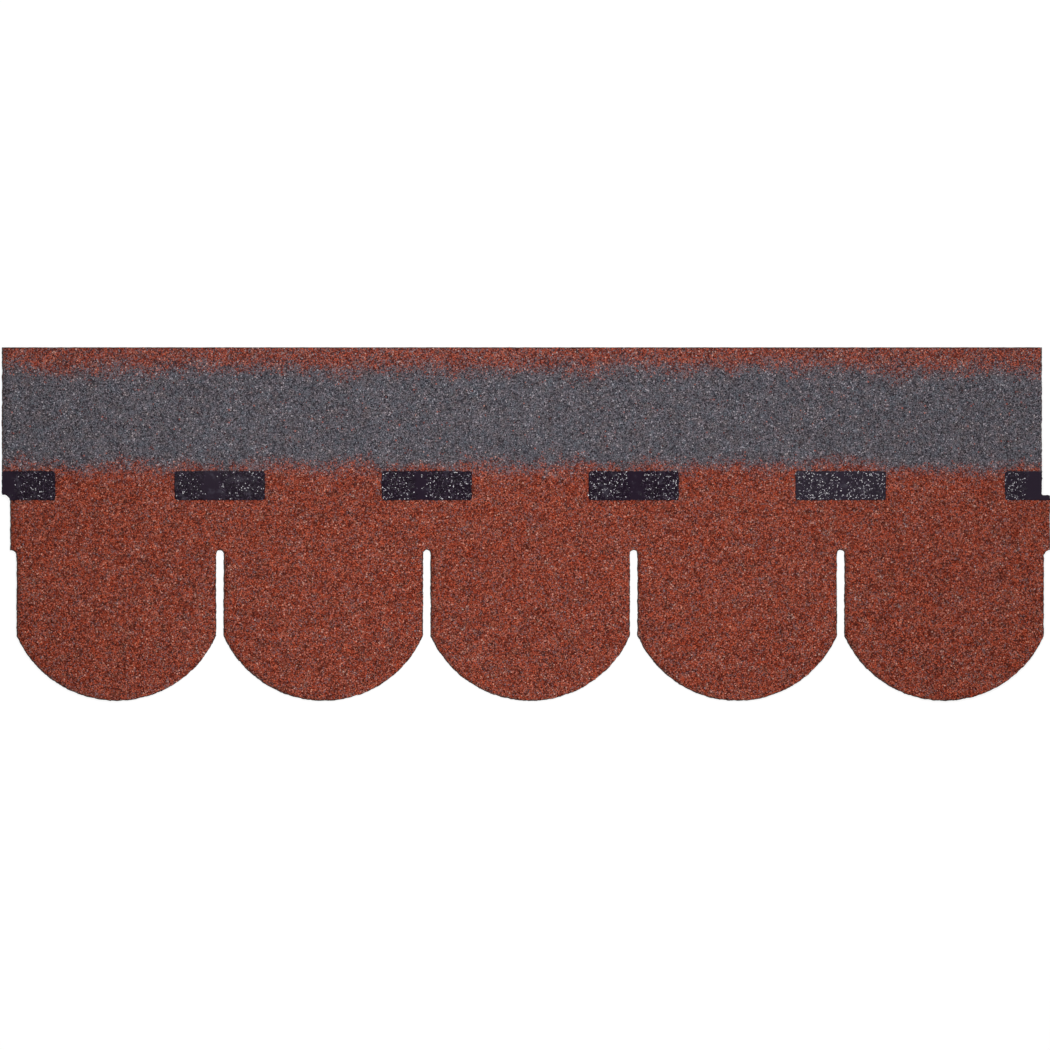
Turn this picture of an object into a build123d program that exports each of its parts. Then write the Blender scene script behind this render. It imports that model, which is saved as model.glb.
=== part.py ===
from build123d import *
import os

# A beaver-tail asphalt shingle: one strip, die-cut from mineral-faced bitumen sheet, with five
# round-ended tabs. Patches of self-sealing bitumen lie on the face, one above each slot and one,
# cut through, at each end.
#
# X runs along the strip, +Y points up the roof slope and +Z stands out of the mineral face.
# The origin is in the middle of the strip's box, on the plane that the back lies on.
# Every size is in millimetres.

# Sheet
sheet_thickness = 3.0
lap_height = 142.0  # upper band, which the next courses cover
shoulder_height = 53.0  # plain part of the lower band, from the end step down to the slots
end_step = 8.0  # how far the lap band is shifted along the strip, so that neighbours lock
knife_bend_radius = 1.2  # where the die's knife turns along the end step

# Tabs
tab_count = 5
tab_width = 192.0
tab_height = 145.0  # top of the slots to the lowest point: what stays in sight on the roof
tab_end_depth = 62.5  # drop of the round end below the straight sides
slot_width = 7.0
end_shoulder = 6.0  # sheet beside the first and the last tab: half the slot between two strips

# Seal patches
patch_width = 87.0
patch_height = 28.0
patch_thickness = 0.8
patch_corner_radius = 3.0
patch_rim_round = 0.5  # where the warm bitumen slumped along the patch's rim
patch_above_slots = 48.0  # top of the slots to the patch's lower edge

# Levels up the slope
sheet_height = tab_height + shoulder_height + lap_height
lowest = -sheet_height / 2
side_foot = lowest + tab_end_depth
slot_top = lowest + tab_height
step_level = slot_top + shoulder_height
top_edge = step_level + lap_height

# Places along the strip: the lower band lies right of the middle and the lap band left of it
tab_pitch = tab_width + slot_width
strip_length = tab_count * tab_width + (tab_count - 1) * slot_width + 2 * end_shoulder
band_shift = end_step / 2
strip_left = band_shift - strip_length / 2
strip_right = band_shift + strip_length / 2
first_tab_axis = strip_left + end_shoulder + tab_width / 2
tab_axes = [first_tab_axis + i * tab_pitch for i in range(tab_count)]
slot_axes = [axis + tab_pitch / 2 for axis in tab_axes[:-1]]
patch_axes = [strip_left, *slot_axes, strip_right]

# Round end of a tab: the circle through the feet of both straight sides and the lowest point
tab_end_radius = ((tab_width / 2) ** 2 + tab_end_depth**2) / (2 * tab_end_depth)


def blank():
    """The lap band and, shifted along by the end step, the band that the tabs are cut from."""
    lap_middle = (step_level + top_edge) / 2
    lap_band = Pos(-band_shift, lap_middle) * Rectangle(strip_length, lap_height)
    tab_band_middle = (step_level + lowest) / 2
    tab_band = Pos(band_shift, tab_band_middle) * Rectangle(strip_length, step_level - lowest)
    bands = lap_band + tab_band
    _, step_corners, _ = bands.vertices().group_by(Axis.Y)
    return fillet(step_corners, knife_bend_radius)


def slot(axis, width):
    """A slot with a half-round top, which runs out below the tabs."""
    length = tab_height + width
    return Pos(axis, slot_top - length / 2) * Rot(0, 0, 90) * SlotOverall(length, width)


def under_tab(axis):
    """What the die takes away on both sides of a tab's round end."""
    block = Pos(axis, (lowest + side_foot) / 2) * Rectangle(tab_pitch, tab_end_depth)
    round_end = Pos(axis, lowest + tab_end_radius) * Circle(tab_end_radius)
    return block - round_end


def strip_outline():
    """The die-cut outline of the whole strip."""
    outline = blank()
    for axis in slot_axes:
        outline -= slot(axis, slot_width)
    for end in (strip_left, strip_right):
        outline -= slot(end, 2 * end_shoulder)
    for axis in tab_axes:
        outline -= under_tab(axis)
    return outline


def whole_patch(axis):
    """A patch as it is laid on the sheet, before the die cuts the strip."""
    middle = slot_top + patch_above_slots + patch_height / 2
    footprint = RectangleRounded(patch_width, patch_height, patch_corner_radius)
    pad = extrude(Pos(axis, middle, sheet_thickness) * footprint, patch_thickness)
    rim = pad.edges().group_by(Axis.Z)[-1]
    return fillet(rim, patch_rim_round)


outline = strip_outline()
shingle_sheet = extrude(outline, sheet_thickness)

# The die cuts the patches at the ends together with the sheet.
die_path = extrude(Pos(0, 0, sheet_thickness) * outline, patch_thickness)
seal_patches = [whole_patch(axis) & die_path for axis in patch_axes]

os.makedirs("parts", exist_ok=True)
export_step(shingle_sheet, "parts/shingle_sheet.step")
for number, patch in enumerate(seal_patches, start=1):
    export_step(patch, f"parts/seal_patch_{number}.step")

print(f"strip {strip_length:.1f} long, {sheet_height:.1f} high, tab end radius {tab_end_radius:.2f}")
print(f"sheet area {outline.area / 1e6:.4f} m2, volume {shingle_sheet.volume / 1e3:.1f} cm3")
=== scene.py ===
# %% [markdown]
# # Dressing a beaver-tail asphalt shingle
# An asphalt shingle is a strip of bitumen sheet with coloured crushed stone pressed into its face,
# fine sand on its back and patches of soft bitumen that glue the next course down. The solids hold
# its outline and its sizes. This notebook adds what the eye reads at arm's length: the stones and
# their bands of colour, the die-cut edge, the sanded back and the glossy patches.

# %% Load the solids, which nothing here moves or resizes
import math
import random

import bmesh
import bpy
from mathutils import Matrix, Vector, noise


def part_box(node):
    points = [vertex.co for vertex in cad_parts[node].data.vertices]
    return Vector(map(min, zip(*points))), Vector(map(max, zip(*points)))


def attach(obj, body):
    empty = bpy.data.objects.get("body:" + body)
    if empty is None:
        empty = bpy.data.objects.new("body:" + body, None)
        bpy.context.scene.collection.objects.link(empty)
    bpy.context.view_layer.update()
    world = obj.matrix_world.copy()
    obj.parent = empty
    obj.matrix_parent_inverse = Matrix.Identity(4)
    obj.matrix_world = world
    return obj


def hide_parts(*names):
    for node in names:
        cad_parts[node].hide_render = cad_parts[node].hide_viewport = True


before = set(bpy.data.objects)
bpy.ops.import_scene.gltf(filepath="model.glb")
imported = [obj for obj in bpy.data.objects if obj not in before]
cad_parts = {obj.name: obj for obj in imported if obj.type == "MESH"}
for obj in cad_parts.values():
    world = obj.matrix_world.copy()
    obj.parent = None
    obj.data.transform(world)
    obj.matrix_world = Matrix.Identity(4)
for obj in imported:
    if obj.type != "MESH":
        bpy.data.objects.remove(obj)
bpy.context.view_layer.update()
sheet_low, sheet_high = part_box("shingle_sheet")
MM = 0.001

# %% [markdown]
# ## Drawing node trees in a script
# A node editor is a fine place to try things, but a picture of wires is hard to read in a script.
# So one class stands for a node's output and lets Python's own arithmetic add the Math nodes, and
# one method adds every other kind of node, for materials and for geometry alike.


# %% A node's output, which takes part in arithmetic
class Output:
    """An output socket. Arithmetic on it adds Math nodes to its plan."""

    def __init__(self, plan, socket):
        self.plan = plan
        self.socket = socket

    def other(self, name):
        """Another output of the same node."""
        return Output(self.plan, named(self.socket.node.outputs, name))

    def __add__(self, value):
        return self.plan.maths("ADD", self, value)

    def __radd__(self, value):
        return self.plan.maths("ADD", value, self)

    def __sub__(self, value):
        return self.plan.maths("SUBTRACT", self, value)

    def __rsub__(self, value):
        return self.plan.maths("SUBTRACT", value, self)

    def __mul__(self, value):
        return self.plan.maths("MULTIPLY", self, value)

    def __rmul__(self, value):
        return self.plan.maths("MULTIPLY", value, self)

    def __truediv__(self, value):
        return self.plan.maths("DIVIDE", self, value)

    def __mod__(self, value):
        return self.plan.maths("MODULO", self, value)

    def __lt__(self, value):
        return self.plan.maths("LESS_THAN", self, value)

    def __gt__(self, value):
        return self.plan.maths("GREATER_THAN", self, value)


# %% A plan: a node tree, and the one method that adds a node to it
def named(sockets, name):
    """The socket in use that has this name, identifier or place in the list."""
    if isinstance(name, int):
        return sockets[name]
    return next(s for s in sockets if s.enabled and name in (s.name, s.identifier))


class Plan:
    """A node tree that is being drawn."""

    def __init__(self, tree):
        self.tree = tree

    def node(self, kind, settings=None, sockets=None, output=0):
        """Adds a node, sets it up, feeds its sockets and gives one of its outputs."""
        made = self.tree.nodes.new(kind)
        for name, value in (settings or {}).items():
            if name == "stops":
                self.stops(made.color_ramp, value)
            elif name == "ramp_steps":
                made.color_ramp.interpolation = "CONSTANT" if value else "LINEAR"
            else:
                setattr(made, name, value)
        for name, value in (sockets or {}).items():
            socket = named(made.inputs, name)
            if isinstance(value, Output):
                self.tree.links.new(value.socket, socket)
            else:
                socket.default_value = value
        return Output(self, named(made.outputs, output)) if len(made.outputs) else None

    def stops(self, ramp, stops):
        """Writes a colour ramp's stops, a list of (place, colour)."""
        while len(ramp.elements) < len(stops):
            ramp.elements.new(1.0)
        for element, (place, colour) in zip(ramp.elements, stops):
            element.position = place
            element.color = colour

    def maths(self, operation, *values):
        return self.node("ShaderNodeMath", {"operation": operation}, dict(enumerate(values)))

    def vector_maths(self, operation, *values):
        return self.node("ShaderNodeVectorMath", {"operation": operation}, dict(enumerate(values)))

    def mix(self, share, first, second, blend="MIX"):
        """Colour first where share is 0 and second where it is 1."""
        settings = {"data_type": "RGBA", "blend_type": blend}
        sockets = {"Factor": share, "A": first, "B": second}
        return self.node("ShaderNodeMix", settings, sockets, "Result")

    def between(self, value, low, high, to_low=0.0, to_high=1.0):
        """A smooth step: to_low below low, to_high above high."""
        sockets = {"Value": value, "From Min": low, "From Max": high, "To Min": to_low, "To Max": to_high}
        return self.node("ShaderNodeMapRange", {"interpolation_type": "SMOOTHSTEP"}, sockets, "Result")

    def noise(self, place, size, detail=2.0, roughness=0.5):
        """Soft noise from 0 to 1, whose blobs are about this many metres across."""
        sockets = {"Vector": place, "Scale": 1 / size, "Detail": detail, "Roughness": roughness}
        return self.node("ShaderNodeTexNoise", None, sockets, "Fac")


# %% [markdown]
# ## Colours
# Colours are picked from a screen, which shows them in sRGB, while a shader works with
# amounts of light. Writing them as screen numbers and converting them once keeps them readable.


# %% Screen colour to light
def light(red, green, blue):
    """A shader colour from screen numbers, 0 to 255."""
    channels = (red / 255, green / 255, blue / 255)
    linear = [((c + 0.055) / 1.055) ** 2.4 if c > 0.04045 else c / 12.92 for c in channels]
    return (*linear, 1.0)


def surface(name, colour, height=None, bump=0.0, **constants):
    """A material with one Principled shader. Constants are set on the shader's own sockets."""
    material = bpy.data.materials.new(name)
    material.use_nodes = True
    material.node_tree.nodes.clear()
    plan = Plan(material.node_tree)
    sockets = {socket.replace("_", " "): value for socket, value in constants.items()}
    sockets["Base Color"] = colour(plan)
    if height:
        bumped = {"Strength": 1.0, "Distance": bump, "Height": height(plan)}
        sockets["Normal"] = plan.node("ShaderNodeBump", None, bumped)
    shader = plan.node("ShaderNodeBsdfPrincipled", None, sockets)
    plan.node("ShaderNodeOutputMaterial", None, {"Surface": shader})
    return material


# %% [markdown]
# ## Camera, lamps and floor
# The strip lies flat and is seen from straight above, as on a scanner, with its tabs towards the
# bottom of the picture. A real lens that close would bend its ends away, so the camera stands far
# off behind a very long lens. The view is square and a hair wider than the strip, which doesn't lie
# quite in the middle of it.

# %% Camera
VIEW_WIDTH = 1009.6 * MM
LENS = 300.0
SENSOR = 36.0
OFF_MIDDLE = (-1.0 * MM, -0.9 * MM)

camera_data = bpy.data.cameras.new("camera")
camera_data.lens = LENS
camera_data.sensor_width = SENSOR
camera_height = VIEW_WIDTH * LENS / SENSOR
camera_data.clip_end = 4 * camera_height
camera = bpy.data.objects.new("camera", camera_data)
camera.location = (*OFF_MIDDLE, camera_height + sheet_high.z)
bpy.context.scene.collection.objects.link(camera)
bpy.context.scene.camera = camera
bpy.context.scene.view_settings.view_transform = "Standard"
print("camera", round(camera_height, 2), "m above the strip")

# %% [markdown]
# A stone's facets only show when light comes mostly from one side. The key lamp stands up the
# slope and to the right, which leaves the left and lower cut edges in shade, and two weaker lamps
# fill in from near by, so the strip's ends are a little darker than its middle. Each lamp is given
# by the share of light it brings to a white card at the middle, and its power follows from its
# distance. The shares and the world add up to one, at which a colour renders as it is written. One
# more lamp stands under the floor and lights the back alone, which the markdown on the floor explains.


# %% Lamps
def lamp(name, place, size, share):
    """A square lamp that points at the middle of the strip and brings this share of its light."""
    place = Vector(place)
    data = bpy.data.lights.new(name, "AREA")
    data.size = size
    data.energy = share * math.pi**2 * place.length**3 / abs(place.z)
    made = bpy.data.objects.new(name, data)
    made.location = place
    made.rotation_euler = (-place).to_track_quat("-Z", "Y").to_euler()
    made.visible_camera = False
    bpy.context.scene.collection.objects.link(made)
    print(name, round(data.energy, 1), "W")


WORLD_SHARE = 0.25
lamp("key_lamp", (0.4, 1.0, 1.35), 0.5, 0.37)
lamp("left_fill_lamp", (-0.35, 0.35, 0.95), 0.32, 0.18)
lamp("low_fill_lamp", (-0.05, -0.68, 0.7), 0.35, 0.2)
lamp("back_lamp", (0.5, 0.9, -1.2), 0.6, 0.75)

# %% World: a camera ray sees white, everything else sees soft grey light
WHITE = light(255, 255, 255)
world = bpy.data.worlds.new("studio")
bpy.context.scene.world = world
world.use_nodes = True
world.node_tree.nodes.clear()
sky = Plan(world.node_tree)
seen = sky.node("ShaderNodeLightPath", None, None, "Is Camera Ray")
soft = sky.node("ShaderNodeBackground", None, {"Color": WHITE, "Strength": WORLD_SHARE})
white = sky.node("ShaderNodeBackground", None, {"Color": WHITE, "Strength": 1.0})
shown = sky.node("ShaderNodeMixShader", None, {0: seen, 1: soft, 2: white})
sky.node("ShaderNodeOutputWorld", None, {"Surface": shown})

# %% [markdown]
# The floor is white paper, which keeps the strip's shadow. Its glow is for the camera alone, so it
# puts no more light on the strip. Real paper would hide the back of anything that lies on it. This
# one is clear from below, and clear to light that has less than a hair's breadth to go, so a camera
# under it sees the back lit by a lamp under it, and from above nothing changes. The floor lies a hair
# lower than the back, because two faces in one plane would show through each other.

# %% Floor
FLOOR_REACH = 6.0
FLOOR_LEVEL = -0.05 * MM
FLOOR_GLOW = 0.85
HAIR = 0.3 * MM
PAPER = light(225, 225, 225)
PAPER_UNDER_GLOW = light(130, 130, 130)
floor_form = bmesh.new()
bmesh.ops.create_circle(floor_form, cap_ends=True, segments=64, radius=FLOOR_REACH)
bmesh.ops.translate(floor_form, verts=floor_form.verts, vec=(0, 0, FLOOR_LEVEL))
floor_mesh = bpy.data.meshes.new("floor")
floor_form.to_mesh(floor_mesh)
floor_form.free()
floor = bpy.data.objects.new("floor", floor_mesh)
bpy.context.scene.collection.objects.link(floor)

floor_paper = bpy.data.materials.new("white_paper")
floor_paper.use_nodes = True
floor_paper.node_tree.nodes.clear()
paper = Plan(floor_paper.node_tree)
seen = paper.node("ShaderNodeLightPath", None, None, "Is Camera Ray")
matt = paper.node("ShaderNodeBsdfDiffuse", None, {"Color": PAPER})
dim = paper.node("ShaderNodeBsdfDiffuse", None, {"Color": PAPER_UNDER_GLOW})
glow = paper.node("ShaderNodeEmission", None, {"Color": WHITE, "Strength": FLOOR_GLOW})
lifted = paper.node("ShaderNodeAddShader", None, {0: dim, 1: glow})
shown = paper.node("ShaderNodeMixShader", None, {0: seen, 1: matt, 2: lifted})
below = paper.node("ShaderNodeNewGeometry", None, None, "Backfacing")
clear = paper.maths("MAXIMUM", below, seen.other("Ray Length") < HAIR)
glass = paper.node("ShaderNodeBsdfTransparent")
shown = paper.node("ShaderNodeMixShader", None, {0: clear, 1: shown, 2: glass})
paper.node("ShaderNodeOutputMaterial", None, {"Surface": shown})
floor_mesh.materials.append(floor_paper)

# %% [markdown]
# ## Bands of colour
# Stones of two blends are dropped from hoppers side by side while the bitumen is hot. A red blend
# covers the part that stays in sight and the very top, and a cheaper grey one the band between,
# which the next course hides. Stray stones mix where the blends meet. One function gives the
# colour of a stone from where it sits and two random numbers, so the stones and the dust between
# them always agree. Each stone gets one plain colour. The glaze that they are fired with comes out
# a little more orange in one scoop and more purple in the next, so a slow tint goes over the reds,
# and a weaker one over the greys. Last, the dust of its neighbours dulls a stone, so that a stray
# doesn't shout.

# %% The two blends, as ramps over a random number from 0 to 1
RED_BLEND = [
    (0.00, light(98, 38, 29)),
    (0.11, light(132, 53, 39)),
    (0.27, light(168, 73, 52)),
    (0.47, light(194, 92, 67)),
    (0.65, light(200, 112, 90)),
    (0.76, light(152, 101, 100)),
    (0.87, light(198, 116, 100)),
    (0.96, light(221, 156, 139)),
]
GREY_BLEND = [
    (0.00, light(65, 61, 68)),
    (0.14, light(96, 92, 100)),
    (0.36, light(119, 114, 122)),
    (0.58, light(114, 116, 123)),
    (0.76, light(141, 133, 142)),
    (0.95, light(177, 170, 177)),
]
GLAZE = [
    (0.32, (1.00, 0.86, 0.74, 1)),
    (0.46, (0.92, 0.92, 0.92, 1)),
    (0.54, (0.92, 0.92, 0.92, 1)),
    (0.68, (0.76, 0.94, 1.00, 1)),
]

# %% Where the blends change, in metres up the slope from the middle of the strip
TOP_RED_FULL = 164 * MM
TOP_RED_NONE = 136 * MM
LOW_RED_NONE = 67 * MM
LOW_RED_FULL = 41 * MM
TOP_SHARE = 0.8
STRAYS = 0.06
BROAD_SIZE = 42 * MM
BROAD_REACH = 22 * MM
TUFT_SIZE = 8 * MM
TUFT_REACH = 20 * MM
STRAY_SIZE = 5 * MM


def red_share(plan, place):
    """How many of the stones round a place are of the red blend, from 0 to 1."""
    broad = plan.noise(place, BROAD_SIZE, 1.0) - 0.5
    tufts = plan.noise(place, TUFT_SIZE, 1.0) - 0.5
    height = plan.node("ShaderNodeSeparateXYZ", None, {"Vector": place}, "Y")
    ragged = height + BROAD_REACH * broad + TUFT_REACH * tufts
    top = plan.between(ragged, TOP_RED_NONE, TOP_RED_FULL, 0.0, TOP_SHARE)
    low = plan.between(ragged, LOW_RED_FULL, LOW_RED_NONE, 1.0, 0.0)
    red = top + low
    strays = plan.between(plan.noise(place, STRAY_SIZE, 0.0), 0.5, 0.75, 0.0, STRAYS)
    return red + strays - 2 * red * strays


DRIFT = 0.25
DRIFT_SIZE = 16 * MM
SCOOP_SIZE = 6 * MM
GREY_GLAZE = 0.4
DULL = 0.4


def stone_colour(plan, place, shade, choice):
    """The colour of the stone that sits at a place. Shade and choice are its random numbers."""
    drift = DRIFT * (plan.noise(place, DRIFT_SIZE, 2.0) - 0.5)
    varied = {"Fac": shade + drift}
    reds = plan.node("ShaderNodeValToRGB", {"ramp_steps": True, "stops": RED_BLEND}, varied, "Color")
    greys = plan.node("ShaderNodeValToRGB", {"ramp_steps": True, "stops": GREY_BLEND}, varied, "Color")
    scoops = {"Fac": plan.noise(place, SCOOP_SIZE, 1.0)}
    glaze = plan.node("ShaderNodeValToRGB", {"stops": GLAZE}, scoops, "Color")
    reds = plan.mix(1.0, reds, glaze, "MULTIPLY")
    greys = plan.mix(GREY_GLAZE, greys, glaze, "MULTIPLY")
    share = red_share(plan, place)
    own = plan.mix(choice < share, greys, reds)
    return plan.mix(DULL, own, plan.mix(share, greys, reds))


# %% [markdown]
# ## The bitumen sheet
# Under the stones lies the sheet itself: bitumen on a glass mat, cut right through by a steel
# rule. The stones are pressed about 0.4 mm into it and end close to the solid's face, some above it
# and some below, so the bed that they sit in lies a little lower.
#
# The outline is the solid's own. Its mesh is copied and merged, and its edges are cut short. Its
# two flat faces have too odd a shape to take new points well, so they are taken off before that
# and filled in afterwards. The rim is rounded, and a narrow strip inside it is kept bare. Where the
# edge looks to the left the bare strip is wider, and its dark bitumen there is painted shade on the
# edges that face away from the key lamp. Last, planes cut the wide face into squares, as a face
# with thousands of corners shades badly.
#
# The same script should give the same strip every time. Two things here don't by themselves: noise
# vectors follow the clock until they are given a seed, and an inset leaves its faces in a new order
# each run, which the seats of all the stones would follow. So there is a seed, and a sort.
#
# A rule leaves a ragged edge in grit, while the top edge is slit by discs and nearly straight. In
# the corner of the left step the sheet tore instead, which left a small flap.

# %% Copy the outline and give the cut edge some life
BED_DEPTH = 0.4 * MM
RIM_STEP = 1.6 * MM
RIM_ROUND = 0.4 * MM
BARE_STRIP = 0.3 * MM
# The extra width of bare dark bitumen on left-facing edges is painted shade.
PAINTED_SHADE_STRIP = 0.45 * MM
SHADE_WAY = Vector((-0.95, -0.3, 0.0))
FACE_STEP = 20 * MM
BED, CUT, BACK = range(3)
TOUCH = 1e-6
FACING = 0.99
FLAT_ANGLE = 0.002
bed_level = sheet_high.z - BED_DEPTH


def is_level(edge):
    return abs(edge.verts[0].co.z - edge.verts[1].co.z) < TOUCH


RAGGED_COARSE = 0.45 * MM
RAGGED_COARSE_SIZE = 7 * MM
RAGGED_FINE = 0.5 * MM
RAGGED_FINE_SIZE = 1.8 * MM
SLIT = sheet_high.y - 4 * MM
SLIT_RAGGED = 0.3
TORN_CORNER = Vector((-496 * MM, 28 * MM, 0))
TORN_REACH = 7 * MM
TORN_PULL = Vector((-2.0 * MM, -1.8 * MM, 0))
RULE_SEED = 7
noise.seed_set(RULE_SEED)


def as_cut(place):
    """Where the rule really cut a point of the outline, which lies off its place by a hair."""
    flat = Vector((place.x, place.y, 0.0))
    coarse = noise.noise_vector(flat / RAGGED_COARSE_SIZE)
    fine = noise.noise_vector(flat / RAGGED_FINE_SIZE)
    off = RAGGED_COARSE * coarse + RAGGED_FINE * fine
    off *= SLIT_RAGGED if place.y > SLIT else 1.0
    near = max(0.0, 1 - (flat - TORN_CORNER).length / TORN_REACH)
    off += near**2 * TORN_PULL
    return Vector((place.x + off.x, place.y + off.y, place.z))


def merged_copy(node):
    """A solid's mesh as a bmesh, with its loose triangles joined into whole flat faces."""
    form = bmesh.new()
    form.from_mesh(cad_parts[node].data)
    bmesh.ops.remove_doubles(form, verts=form.verts, dist=TOUCH)
    bmesh.ops.dissolve_limit(form, angle_limit=FLAT_ANGLE, verts=form.verts, edges=form.edges)
    return form


def in_order(form):
    """The same form with its points and faces sorted by place."""
    ordered = bmesh.new()
    points = sorted(form.verts, key=lambda vert: vert.co[:])
    rank = {vert: number for number, vert in enumerate(points)}
    copies = [ordered.verts.new(vert.co) for vert in points]
    outlines = []
    for face in form.faces:
        numbers = [rank[vert] for vert in face.verts]
        first = numbers.index(min(numbers))
        outlines.append((numbers[first:] + numbers[:first], face.material_index))
    for numbers, finish in sorted(outlines):
        ordered.faces.new([copies[number] for number in numbers]).material_index = finish
    form.free()
    return ordered


def cut_up(form, low, high, step):
    """Cuts a form by upright planes a step apart, first across X and then across Y."""
    for axis in (0, 1):
        across = Vector([float(i == axis) for i in range(3)])
        for number in range(1, int((high[axis] - low[axis]) / step)):
            place = low + across * number * step
            geometry = form.verts[:] + form.edges[:] + form.faces[:]
            bmesh.ops.bisect_plane(form, geom=geometry, plane_co=place, plane_no=across, dist=1e-7)


sheet_form = merged_copy("shingle_sheet")
sheet_form.normal_update()
caps = [face for face in sheet_form.faces if abs(face.normal.z) > FACING]
bmesh.ops.delete(sheet_form, geom=caps, context="FACES_ONLY")
by_cuts = {}
for edge in filter(is_level, sheet_form.edges):
    by_cuts.setdefault(int(edge.calc_length() / RIM_STEP), []).append(edge)
for cuts, edges in by_cuts.items():
    if cuts:
        bmesh.ops.subdivide_edges(sheet_form, edges=edges, cuts=cuts)
bmesh.ops.edgeloop_fill(sheet_form, edges=[edge for edge in sheet_form.edges if edge.is_boundary])
bmesh.ops.recalc_face_normals(sheet_form, faces=sheet_form.faces)

face_verts = [v for v in sheet_form.verts if v.co.z > sheet_high.z - TOUCH]
bmesh.ops.translate(sheet_form, verts=face_verts, vec=(0, 0, -BED_DEPTH))
top_rim = [e for e in sheet_form.edges if is_level(e) and e.verts[0].co.z > bed_level - TOUCH]
bmesh.ops.bevel(
    sheet_form,
    geom=top_rim,
    affect="EDGES",
    offset=RIM_ROUND,
    offset_type="OFFSET",
    segments=2,
    profile=0.5,
    material=-1,
)
sheet_form.normal_update()
face = max(sheet_form.faces, key=lambda candidate: candidate.calc_area() * candidate.normal.z)
bare_strip = bmesh.ops.inset_individual(sheet_form, faces=[face], thickness=BARE_STRIP)["faces"]
# Widen the bare dark strip where the edge looks to the left: painted shade on those edges.
for vert in face.verts:
    outer = next(edge.other_vert(vert) for edge in vert.link_edges if face not in edge.link_faces)
    outward = (outer.co - vert.co).normalized()
    vert.co -= PAINTED_SHADE_STRIP * max(0.0, outward.dot(SHADE_WAY)) * outward
for face in bare_strip:
    face.material_index = CUT
sheet_form = in_order(sheet_form)
for vert in sheet_form.verts:
    vert.co = as_cut(vert.co)
cut_up(sheet_form, sheet_low, sheet_high, FACE_STEP)
sheet_form.normal_update()
print("sheet:", len(sheet_form.verts), "points,", len(sheet_form.faces), "faces")

# %% [markdown]
# The sheet shows three finishes. Between the stones lies dust and broken stone of the same two
# blends, so its bed repeats their colours in cells under a millimetre wide. The bed is dimmed all
# over and much darker at the cells' edges, partly where bitumen rises between the grains and
# partly as painted shade between the stones. The cut is bare bitumen, with a paler line where the
# mat's glass fibres end. The back is bitumen dusted with fine sand, which stops the strips sticking
# in their pack.


# %% Finishes of the sheet
def here(plan):
    """Where on the piece a point lies, in metres."""
    return plan.node("ShaderNodeTexCoord", None, None, "Object")


def cells(plan, size):
    """How far off the nearest middle is, in a packing of random cells of about this size."""
    sockets = {"Vector": here(plan), "Scale": 1 / size}
    return plan.node("ShaderNodeTexVoronoi", None, sockets, "Distance")


DUST_GRAIN = 0.95 * MM
# Dimming of the bed and the dark at grain edges: bitumen between the grains, and painted shade between
# the stones.
DUST_SHADE = 0.42
WELL_SHADE = (0.1, 0.1, 0.1, 1.0)


def bed_colour(plan):
    grains = cells(plan, DUST_GRAIN)
    draw = plan.node("ShaderNodeSeparateColor", None, {"Color": grains.other("Color")}, "Red")
    dust = stone_colour(plan, here(plan), draw, draw.other("Green"))
    # Dust times WELL_SHADE: bitumen rising between the grains, and painted shade between the stones.
    wells_and_shade = plan.mix(1.0, dust, WELL_SHADE, "MULTIPLY")
    return plan.mix(plan.between(grains, 0.5, 0.8, DUST_SHADE, 1.0), dust, wells_and_shade)


def bed_height(plan):
    return 1 - cells(plan, DUST_GRAIN)


MAT_LEVEL = 1.2 * MM


def cut_colour(plan):
    crumbs = plan.between(plan.noise(here(plan), 0.5 * MM, 1.0), 0.52, 0.7)
    bare = plan.mix(crumbs, light(50, 38, 36), light(104, 74, 64))
    level = plan.node("ShaderNodeSeparateXYZ", None, {"Vector": here(plan)}, "Z") / MM
    near_mat = plan.between(plan.maths("ABSOLUTE", level - MAT_LEVEL / MM), 0.08, 0.16, 1.0, 0.0)
    fibres = plan.between(plan.noise(here(plan), 0.3 * MM, 0.0), 0.45, 0.55)
    return plan.mix(near_mat * fibres, bare, light(150, 140, 120))


def cut_height(plan):
    return plan.noise(here(plan), 0.6 * MM, 2.0)


BLACK = light(30, 26, 29)
SAND_GRAIN = 0.55 * MM
SANDLESS = 0.55
SANDLESS_SIZE = 22 * MM
SAND = [
    (0.00, light(40, 39, 42)),
    (0.45, light(60, 58, 60)),
    (0.80, light(92, 88, 84)),
    (0.96, light(140, 134, 124)),
]


def back_colour(plan):
    grains = cells(plan, SAND_GRAIN)
    draw = plan.node("ShaderNodeSeparateColor", None, {"Color": grains.other("Color")}, "Red")
    grain = plan.node("ShaderNodeValToRGB", {"ramp_steps": True, "stops": SAND}, {"Fac": draw}, "Color")
    bare = plan.between(plan.noise(here(plan), SANDLESS_SIZE, 3.0), 0.5, 0.72)
    sanded = plan.mix(plan.between(grains, 0.4, 0.8), grain, BLACK)
    return plan.mix(SANDLESS * bare, sanded, BLACK)


def back_height(plan):
    return 1 - cells(plan, SAND_GRAIN)


bed_finish = surface(
    "stone_bed", bed_colour, bed_height, bump=0.3 * MM, Roughness=0.85, Specular_IOR_Level=0.05
)
cut_finish = surface(
    "cut_bitumen", cut_colour, cut_height, bump=0.15 * MM, Roughness=0.7, Specular_IOR_Level=0.2
)
back_finish = surface("sanded_back", back_colour, back_height, bump=0.12 * MM, Roughness=0.8)


# %% The sheet becomes a piece
def mesh_of(name, form):
    """A mesh with the shape of a bmesh, which is then let go."""
    mesh = bpy.data.meshes.new(name)
    form.to_mesh(mesh)
    form.free()
    return mesh


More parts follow.
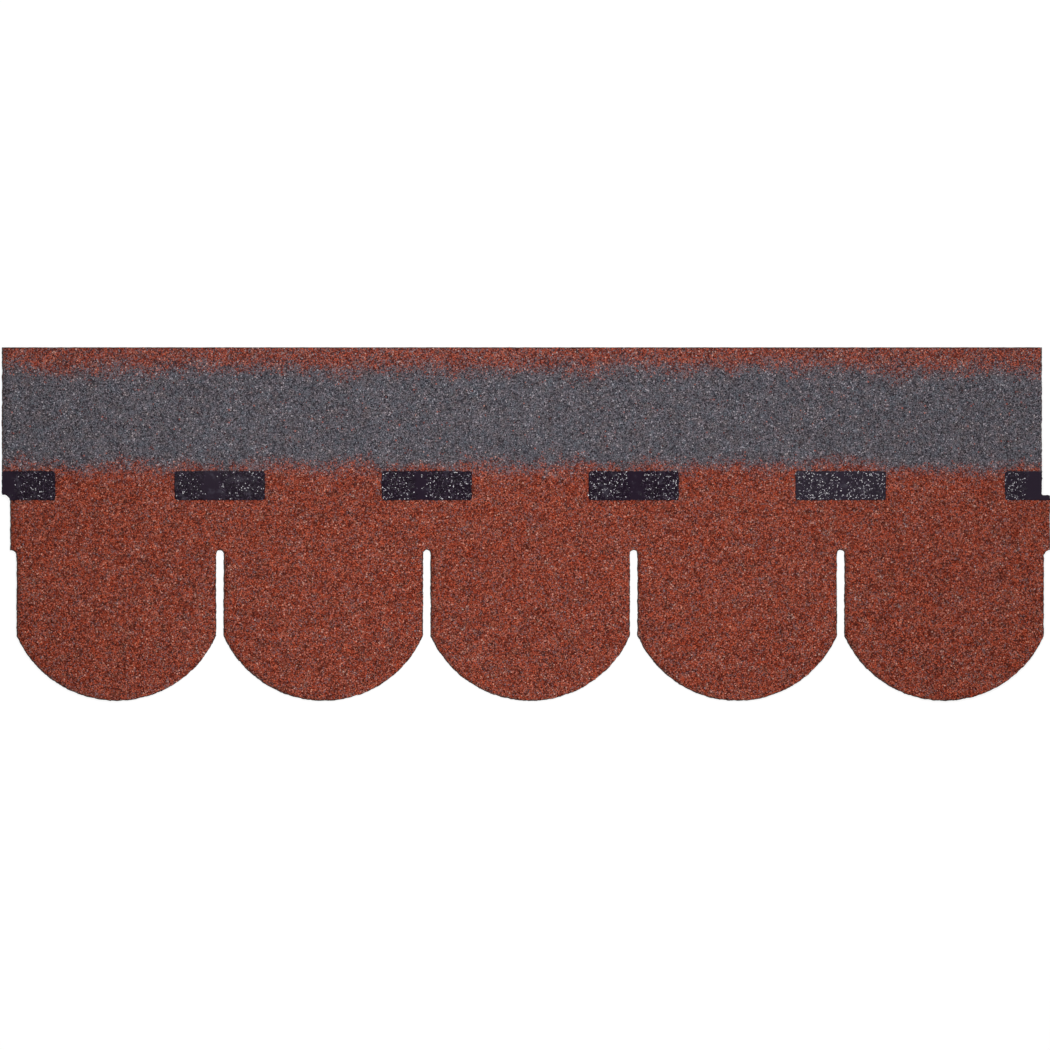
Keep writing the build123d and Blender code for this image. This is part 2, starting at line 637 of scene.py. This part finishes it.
def piece(name, mesh, slot, *stands_for):
    """Makes a mesh a piece of the object, which rides on its one body."""
    made = bpy.data.objects.new(name, mesh)
    bpy.context.scene.collection.objects.link(made)
    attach(made, "root")
    for node in stands_for:
        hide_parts(node)
    return made


for face in sheet_form.faces:
    if face.normal.z < -FACING:
        face.material_index = BACK
    elif face.normal.z < FACING:
        face.material_index = CUT
bed_form = sheet_form.copy()
sheet_mesh = mesh_of("bitumen_sheet", sheet_form)
for finish in (bed_finish, cut_finish, back_finish):
    sheet_mesh.materials.append(finish)
piece("bitumen_sheet", sheet_mesh, "mineral_faced_sheet", "shingle_sheet")

# %% [markdown]
# ## Stones
# The face is crushed stone, about a millimetre and a half across, angular and pressed down by a
# roller so that most lie on a flat side. A bump pattern would do from far off, but light catches
# real facets in a way that no bump does, and the meshes stand without their materials too. A
# hundred thousand stones leave only a handful of faces for each, so a stone is the convex hull
# of five or six points: a low pyramid, or a wedge with a flat top.

# %% A dozen stones to draw from
STONE_REACH = 0.88 * MM
STONE_SHAPES = 12
rng = random.Random(7)
stone_shapes = bpy.data.collections.new("stone_shapes")


def ring(form, corners, reach, level, turn):
    """Adds a few points round the middle, none of them quite where a regular shape has it."""
    for corner in range(corners):
        angle = 2 * math.pi * (corner + turn + rng.uniform(-0.16, 0.16)) / corners
        out = reach * rng.uniform(0.82, 1.12)
        height = level + 0.09 * MM * rng.uniform(-1, 1)
        form.verts.new((out * math.cos(angle), out * math.sin(angle), height))


def stone(number):
    """A closed angular stone whose widest part sits at the level of the bed."""
    form = bmesh.new()
    if number % 2:
        ring(form, 3, STONE_REACH, -0.06 * MM, 0.0)
        ring(form, 3, 0.82 * STONE_REACH, 0.4 * MM, 0.5)
    else:
        ring(form, 4, STONE_REACH, -0.04 * MM, 0.0)
        ring(form, 1, 0.3 * STONE_REACH, 0.5 * MM, rng.random())
    bmesh.ops.convex_hull(form, input=form.verts)
    bmesh.ops.recalc_face_normals(form, faces=form.faces)
    name = f"stone_{number}"
    stone_shapes.objects.link(bpy.data.objects.new(name, mesh_of(name, form)))


for number in range(STONE_SHAPES):
    stone(number)

# %% [markdown]
# Python could place every stone, slowly, and an array would show its grid. Geometry Nodes strew
# them instead. Poisson disks keep a least distance between seats, as stones do that shove each
# other aside. Before a seat turns into a stone, it notes where it is and three random numbers,
# and the stone carries them on its points, so that the shader can give each stone one colour.
#
# The mesh is kept and the nodes go, which makes the stones plain geometry. Each stone gets its own
# small square of the UV map OFBake too, so that a baked picture of a hundred thousand colours
# doesn't run them into each other.

# %% Strew stones on a mesh
CELL_SHARE = 0.3
SEATS_TRIED = 6


def strewn(name, bed, spacing, size, form, tilt, seed, finish, keep):
    """A mesh of stones on a bed mesh, at the seats that keep gives 1 for."""
    tree = bpy.data.node_groups.new(name, "GeometryNodeTree")
    for way in ("INPUT", "OUTPUT"):
        tree.interface.new_socket("Geometry", in_out=way, socket_type="NodeSocketGeometry")
    plan = Plan(tree)
    place = plan.node("GeometryNodeInputPosition")

    def note(shape, label, kind, domain, value):
        settings = {"data_type": kind, "domain": domain}
        sockets = {"Geometry": shape, "Name": label, "Value": value}
        return plan.node("GeometryNodeStoreNamedAttribute", settings, sockets)

    def recall(label, kind):
        settings = {"data_type": kind}
        return plan.node("GeometryNodeInputNamedAttribute", settings, {"Name": label}, "Attribute")

    def chance(low, high, kind, own_seed):
        sockets = {"Min": low, "Max": high, "Seed": own_seed}
        return plan.node("FunctionNodeRandomValue", {"data_type": kind}, sockets, "Value")

    ground = plan.node("NodeGroupInput")
    density = SEATS_TRIED / spacing**2
    packing = {"Mesh": ground, "Distance Min": spacing, "Density Max": density, "Seed": seed}
    settings = {"distribute_method": "POISSON"}
    seats = plan.node("GeometryNodeDistributePointsOnFaces", settings, packing, "Points")
    unwanted = {"Geometry": seats, "Selection": 1 - keep(plan, place, ground)}
    seats = plan.node("GeometryNodeDeleteGeometry", {"domain": "POINT"}, unwanted)
    seats = note(seats, "seat", "FLOAT_VECTOR", "POINT", place)
    seats = note(seats, "draw", "FLOAT_VECTOR", "POINT", chance((0, 0, 0), (1, 1, 1), "FLOAT_VECTOR", 1))
    seats = note(seats, "number", "FLOAT", "POINT", plan.node("GeometryNodeInputIndex"))

    shapes = {"Collection": stone_shapes, "Separate Children": True, "Reset Children": True}
    scale = chance(*size, "FLOAT", 2)
    stones = {
        "Points": seats,
        "Instance": plan.node("GeometryNodeCollectionInfo", None, shapes),
        "Pick Instance": True,
        "Rotation": chance((-tilt, -tilt, 0), (tilt, tilt, 2 * math.pi), "FLOAT_VECTOR", 3),
        "Scale": plan.vector_maths("MULTIPLY", scale, form),
    }
    shape = plan.node("GeometryNodeInstanceOnPoints", None, stones)
    shape = plan.node("GeometryNodeRealizeInstances", None, {"Geometry": shape})

    count = plan.node("GeometryNodeAttributeDomainSize", {"component": "POINTCLOUD"}, {"Geometry": seats})
    row = plan.maths("CEIL", plan.maths("SQRT", count))
    number = recall("number", "FLOAT")
    reach = plan.vector_maths("SUBTRACT", place, recall("seat", "FLOAT_VECTOR"))
    across = plan.node("ShaderNodeSeparateXYZ", None, {"Vector": reach}, "X")
    widest = 1.2 * STONE_REACH * size[1]
    u = (number % row + 0.5 + CELL_SHARE * across / widest) / row
    v = (plan.maths("FLOOR", number / row) + 0.5 + CELL_SHARE * across.other("Y") / widest) / row
    square = plan.node("ShaderNodeCombineXYZ", None, {"X": u, "Y": v})
    shape = note(shape, "OFBake", "FLOAT2", "CORNER", square)
    shape = plan.node("GeometryNodeSetMaterial", None, {"Geometry": shape, "Material": finish})
    plan.node("NodeGroupOutput", None, {"Geometry": shape})

    holder = bpy.data.objects.new(name, bed)
    bpy.context.scene.collection.objects.link(holder)
    holder.modifiers.new("strew", "NODES").node_group = tree
    depsgraph = bpy.context.evaluated_depsgraph_get()
    mesh = bpy.data.meshes.new_from_object(
        holder.evaluated_get(depsgraph), preserve_all_data_layers=True, depsgraph=depsgraph
    )
    bpy.data.objects.remove(holder)
    bpy.data.node_groups.remove(tree)
    mesh.name = name
    mesh.attributes.remove(mesh.attributes["number"])
    top = max(vert.co.z for vert in mesh.vertices)
    print(name, len(mesh.polygons), "faces, up to", round(top / MM, 2), "mm")
    return mesh


# %% [markdown]
# The stones cover the face up to the cut nearly everywhere, and stop a few millimetres short of it
# where the edge looks to the left, as the photographed edges show a darker line there: the darker
# bare bed left there is painted shade on those edges. A ray dropped from beside each seat tells
# whether the sheet reaches that far, and a ray sent up tells whether the seat is under a patch.
# The stones come in five bands to keep each mesh a handy size.

# %% Where a seat may lie
# Stones stay a few millimetres off the left-facing cut, so the darker bare bed there is painted shade.
SHORT_OF_SHADED_CUT = (-3.4 * MM, -0.5 * MM)
SHORT_OF_LIT_CUT = (0.05 * MM, 0.1 * MM)
PATCH_RAGGED = 1.5 * MM
PATCH_RAGGED_SIZE = 3 * MM
PROBE = 3 * MM


def meets(plan, target, start, way):
    """1 where a plumb ray from a start meets the target; way is 1 up and -1 down."""
    ray = {
        "Target Geometry": target,
        "Source Position": start,
        "Ray Direction": (0, 0, way),
        "Ray Length": PROBE,
    }
    return plan.node("GeometryNodeRaycast", None, ray, "Is Hit")


patch_nodes = [f"seal_patch_{number}" for number in range(1, 7)]
cover_form = bmesh.new()
for node in patch_nodes:
    cover_form.from_mesh(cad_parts[node].data)
cover = bpy.data.objects.new("patch_cover", mesh_of("patch_cover", cover_form))


def in_the_open(plan, place, ground):
    """1 for a seat that lies on the sheet, far enough from its cut, and under no patch."""
    inside = 1
    for shift in (SHORT_OF_SHADED_CUT, SHORT_OF_LIT_CUT):
        beside = plan.vector_maths("ADD", place, (*shift, PROBE / 2))
        inside = meets(plan, ground, beside, -1) * inside
    drift = plan.noise(place, PATCH_RAGGED_SIZE, 1.0).other("Color")
    wander = plan.vector_maths("SUBTRACT", drift, (0.5, 0.5, 0.5))
    wander = plan.vector_maths("MULTIPLY", wander, (PATCH_RAGGED, PATCH_RAGGED, 0))
    under = plan.vector_maths("ADD", place, wander)
    patches = plan.node("GeometryNodeObjectInfo", None, {"Object": cover}, "Geometry")
    return inside * (1 - meets(plan, patches, under, 1))


# %% Finish of the stones
def noted(plan, label, output="Vector"):
    """What a mesh carries on its points under this label."""
    settings = {"attribute_type": "GEOMETRY", "attribute_name": label}
    return plan.node("ShaderNodeAttribute", settings, None, output)


def granule_colour(plan):
    shade = plan.node("ShaderNodeSeparateXYZ", None, {"Vector": noted(plan, "draw")}, "X")
    plain = stone_colour(plan, noted(plan, "seat"), shade, shade.other("Y"))
    mottle = plan.between(plan.noise(here(plan), 0.3 * MM, 2.0), 0.3, 0.7, 0.88, 1.12)
    return plan.mix(1.0, plain, mottle, "MULTIPLY")


granule_finish = surface("granules", granule_colour, Roughness=0.6, Specular_IOR_Level=0.08)

# %% Strew the face in five bands
SPACING = 1.33 * MM
SIZES = (0.8, 1.25)
BANDS = 5
bmesh.ops.delete(bed_form, geom=[f for f in bed_form.faces if f.material_index != BED], context="FACES")
bed_mesh = mesh_of("bed", bed_form)
band_height = (sheet_high.y - sheet_low.y) / BANDS


def band_seats(number):
    """The test that seats of one band pass; band 1 is the lowest."""
    low = sheet_low.y + (number - 1) * band_height

    def keep(plan, place, ground):
        height = plan.node("ShaderNodeSeparateXYZ", None, {"Vector": place}, "Y")
        return (height > low) * (height < low + band_height) * in_the_open(plan, place, ground)

    return keep


for number in range(1, BANDS + 1):
    name = f"granules_{number}"
    stones = strewn(
        name,
        bed_mesh,
        spacing=SPACING,
        size=SIZES,
        form=(1, 1, 1),
        tilt=0.22,
        seed=11,
        finish=granule_finish,
        keep=band_seats(number),
    )
    piece(name, stones, "mineral_faced_sheet")

# %% [markdown]
# ## Seal patches
# A patch is soft bitumen run on over the stones while hot, which the sun's warmth glues to the
# course above. It is black and glossy. Where it is thin, the stones under it show as bumps that
# glint, and where it pooled it is smooth. The solid gives its outline and its slumped rim. Planes
# cut it into small faces first, which noise can then lift, more where the film is thin.

# %% Bumpy patches
PATCH_STEP = 0.62 * MM
PATCH_LEVEL = 3.42 * MM
FOOT_LEVEL = bed_level - 0.1 * MM
BUMP_SIZE = 1.3 * MM
BUMP_LIFT = 0.16 * MM
SWELL_SIZE = 11 * MM
SWELL_LIFT = 0.05 * MM
FILM_EDGE = 4 * MM
POOLS = {
    "seal_patch_1": (-500 * MM, 9 * MM),
    "seal_patch_2": (-302 * MM, 9 * MM),
    "seal_patch_3": (-101 * MM, 5 * MM),
    "seal_patch_4": (105 * MM, 7 * MM),
    "seal_patch_5": (304 * MM, 2.5 * MM),
    "seal_patch_6": (494 * MM, 15 * MM),
}
POOL_RAGGED = 0.9
POOL_RAGGED_SIZE = 9 * MM
POOL_WANDER = 5 * MM
POOL_WANDER_SIZE = 2.5 * MM


def film(place, node):
    """How thin the film is: 0 in the pool, 1 well away from it."""
    middle, reach = POOLS[node]
    flat = Vector((place.x, place.y, 0))
    ragged = reach * (1 + POOL_RAGGED * noise.noise(flat / POOL_RAGGED_SIZE))
    return min(1.0, max(0.0, (abs(place.x - middle) - ragged) / FILM_EDGE))


def patch(node):
    form = merged_copy(node)
    low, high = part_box(node)
    cut_up(form, low, high, PATCH_STEP)
    underside = [f for f in form.faces if f.normal.z < -FACING]
    bmesh.ops.dissolve_faces(form, faces=underside)
    thin = form.verts.layers.float.new("thin")
    for vert in form.verts:
        share = (vert.co.z - low.z) / (high.z - low.z)
        place = vert.co.copy()
        level = FOOT_LEVEL + share * (PATCH_LEVEL - FOOT_LEVEL)
        vert[thin] = film(place, node)
        bump = abs(noise.noise(place / BUMP_SIZE)) * vert[thin]
        swell = noise.noise(place / SWELL_SIZE)
        vert.co.z = level + share * (BUMP_LIFT * bump + SWELL_LIFT * swell)
        vert.co = as_cut(vert.co)
    mesh = mesh_of(f"seal_bitumen_{node[-1]}", form)
    mesh.shade_smooth()
    return mesh


DUST = light(78, 74, 86)
DUST_CLOUDS = 0.4
DUST_CLOUD_SIZE = 9 * MM
DUSTED = {5: 0.16, 6: 0.1}


def dustiness(plan, place):
    """How much pale dust lies at a place on a patch. The fifth patch has the most."""
    x = plan.node("ShaderNodeSeparateXYZ", None, {"Vector": place}, "X")
    dusty = DUST_CLOUDS * plan.between(plan.noise(place, DUST_CLOUD_SIZE, 3.0), 0.56, 0.74)
    for number, share in DUSTED.items():
        low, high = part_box(f"seal_patch_{number}")
        dusty = dusty + share * (x > low.x - MM) * (x < high.x + MM)
    return dusty


def pitch_colour(plan):
    # Darker where the film is thin: painted shade among the bumps. The pale mix after it is dust.
    shaded_pitch = plan.mix(noted(plan, "thin", "Fac"), light(34, 22, 38), light(25, 11, 28))
    return plan.mix(dustiness(plan, here(plan)), shaded_pitch, DUST)


def pitch_height(plan):
    return plan.noise(here(plan), 0.7 * MM, 2.0)


pitch_finish = surface(
    "seal_bitumen", pitch_colour, pitch_height, bump=0.03 * MM, Roughness=0.24, Specular_IOR_Level=0.18
)
for node in patch_nodes:
    mesh = patch(node)
    mesh.materials.append(pitch_finish)
    made = piece(mesh.name, mesh, "seal_bitumen", node)
    print(made.name, len(mesh.polygons), "faces")

# %% [markdown]
# The bumps alone glint too evenly. Stones that the film only coats have flat facets, which are
# darker or lighter with the thickness of the film, and each mirrors another part of the room. A
# few specks of pale sand from the pack lie on the patches too, painted near white so that they
# also serve as painted glints. They are sharp and small, and lie thickest where the photograph has
# most of them.


# %% Coated stones
COATED = [
    (0.00, light(14, 5, 18)),
    (0.35, light(28, 15, 32)),
    (0.65, light(46, 34, 50)),
    (0.88, light(78, 66, 83)),
]


def coated_colour(plan):
    draw = plan.node("ShaderNodeSeparateXYZ", None, {"Vector": noted(plan, "draw")}, "X")
    coat = plan.node("ShaderNodeValToRGB", {"ramp_steps": True, "stops": COATED}, {"Fac": draw}, "Color")
    return plan.mix(dustiness(plan, noted(plan, "seat")), coat, DUST)


def fleck_and_glint_colour(plan):
    draw = plan.node("ShaderNodeSeparateXYZ", None, {"Vector": noted(plan, "draw")}, "X")
    # Near white: pale sand, and painted glints where the gloss gives too few.
    return plan.mix(draw, light(150, 144, 156), light(250, 248, 252))


coated_finish = surface("coated_stones", coated_colour, Roughness=0.2, Specular_IOR_Level=0.22)
fleck_and_glint_finish = surface("pale_flecks", fleck_and_glint_colour, Roughness=0.5)


def outside_pools(plan, place, ground):
    """1 for a seat on the level top of a patch, away from its pool."""
    x = plan.node("ShaderNodeSeparateXYZ", None, {"Vector": place}, "X")
    drift = plan.noise(place, POOL_WANDER_SIZE, 2.0)
    wander = plan.between(drift, 0.3, 0.7, -POOL_WANDER, POOL_WANDER)
    free = x.other("Z") > PATCH_LEVEL - SWELL_LIFT
    for middle, reach in POOLS.values():
        free = free * (plan.maths("ABSOLUTE", x - middle) > wander + reach)
    return free


tops_form = bmesh.new()
for node in patch_nodes:
    tops_form.from_mesh(bpy.data.objects[f"seal_bitumen_{node[-1]}"].data)
tops = mesh_of("patch_tops", tops_form)
coated = strewn(
    "coated_stones",
    tops,
    spacing=1.0 * MM,
    size=(0.45, 0.95),
    form=(1, 1, 0.45),
    tilt=0.16,
    seed=5,
    finish=coated_finish,
    keep=outside_pools,
)
piece("coated_stones", coated, "seal_bitumen")

# %% Pale sand specks, which also stand in as painted glints
FLECK_GLINT_SHARES = {1: 0.09, 2: 0.11, 3: 0.15, 4: 0.18, 5: 0.25, 6: 0.2}


def fleck_or_glint_seat(plan, place, ground):
    """1 for a seat that a pale fleck lies on, also a painted glint, as often as its patch asks for."""
    x = plan.node("ShaderNodeSeparateXYZ", None, {"Vector": place}, "X")
    wanted = 0
    for number, share in FLECK_GLINT_SHARES.items():
        low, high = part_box(f"seal_patch_{number}")
        wanted = (x > low.x - MM) * (x < high.x + MM) * share + wanted
    luck = plan.node("FunctionNodeRandomValue", {"data_type": "FLOAT"}, {"Seed": 9}, "Value")
    return (luck < wanted) * outside_pools(plan, place, ground)


flecks = strewn(
    "flecks",
    tops,
    spacing=1.2 * MM,
    size=(0.42, 0.9),
    form=(1.2, 0.8, 0.5),
    tilt=0.1,
    seed=8,
    finish=fleck_and_glint_finish,
    keep=fleck_or_glint_seat,
)
piece("flecks", flecks, "seal_bitumen")

# %% [markdown]
# ## Bring the scene up to date
# The dressed model has to keep to the solids' box, which its ragged cut leaves by a fraction of a
# millimetre.

# %% Bring the scene up to date
bpy.context.view_layer.update()
